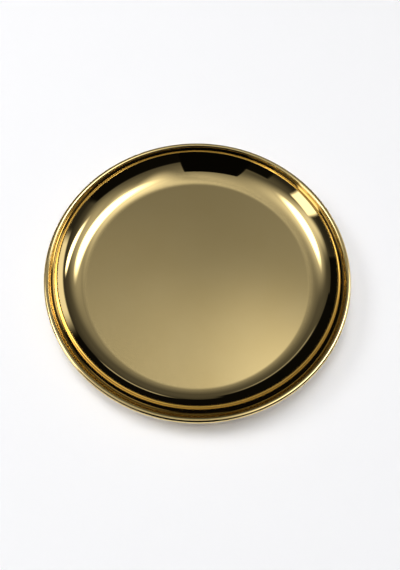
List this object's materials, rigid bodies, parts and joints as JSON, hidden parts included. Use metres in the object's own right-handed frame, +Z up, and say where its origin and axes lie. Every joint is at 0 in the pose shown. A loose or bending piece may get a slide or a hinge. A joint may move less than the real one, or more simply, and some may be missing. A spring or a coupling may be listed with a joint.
{
  "type": "small serving plate",
  "caption": "Round serving plate pressed from polished gold-toned metal sheet, with a flat floor, a tall swept wall and a curled hollow rim.",
  "frame": {"origin": "centre of the underside of the floor, on the table", "axes": "+Z up along the plate's axis of revolution; X and Y are free, because the plate is round"},
  "size_m": [0.18, 0.18, 0.018],
  "materials": {
    "polished_gold_metal": "mirror polished, pale gold tone"
  },
  "bodies": {
    "root": {"pressed_plate": "polished_gold_metal"}
  },
  "joints": []
}
